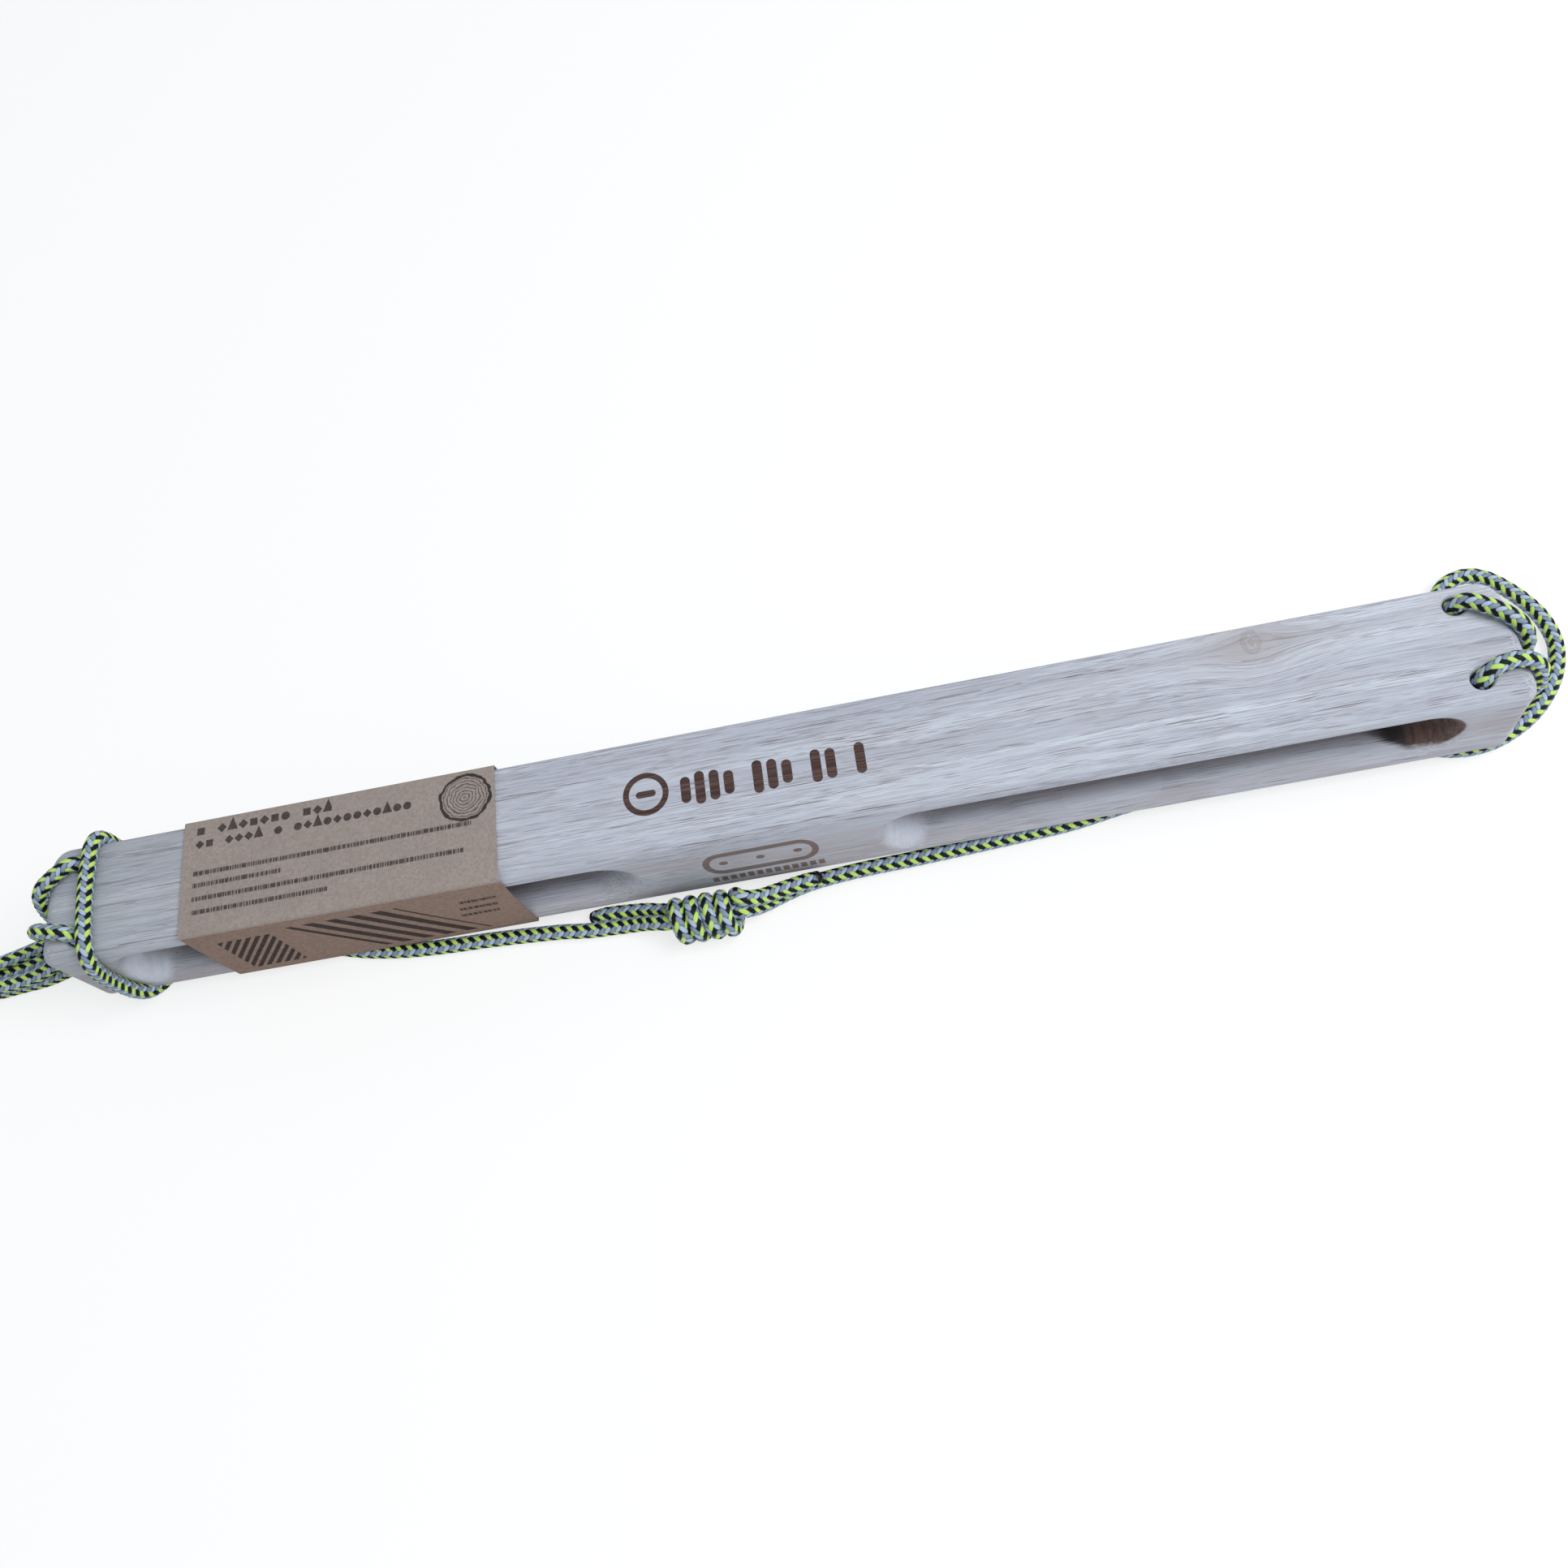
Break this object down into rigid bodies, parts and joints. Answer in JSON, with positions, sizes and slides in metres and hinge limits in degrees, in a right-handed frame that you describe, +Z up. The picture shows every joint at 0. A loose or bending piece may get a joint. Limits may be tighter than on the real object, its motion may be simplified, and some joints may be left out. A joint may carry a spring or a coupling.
{
  "type": "portable climbing hangboard",
  "caption": "Slim wooden training bar with finger pockets in both long sides, a braided cord laced through its ends and a loose card sleeve.",
  "frame": {"origin": "on the surface that the board lies on, under the middle of the wooden bar", "axes": "+X along the bar to its right end, -Y to the front with the deep pockets, +Z up"},
  "size_m": [0.71, 0.0912, 0.0543],
  "materials": {
    "wood": "sanded, unvarnished",
    "card": "matte recycled card",
    "cord": "braided lime, black and grey",
    "tie": "woven band"
  },
  "bodies": {
    "board": {"wood_bar": "wood", "cord_lacing_right": "cord", "cord_lacing_left": "cord", "cord_end_loop": "cord", "cord_run_right": "cord", "cord_run_left": "cord", "cord_back_run": "cord", "cord_cross_wrap": "cord", "cord_exit_upper": "cord", "cord_exit_lower": "cord", "cord_hank_inner": "cord", "cord_hank_outer": "cord", "knot_wraps": "cord", "cord_tail_left": "cord", "cord_tail_right": "cord", "hank_tie": "tie"},
    "sleeve": {"card_sleeve": "card"}
  },
  "joints": [
    {"name": "sleeve_slide", "type": "slide", "parent": "board", "child": "sleeve", "axis": [1, 0, 0], "range_m": [-0.02, 0.31]}
  ]
}
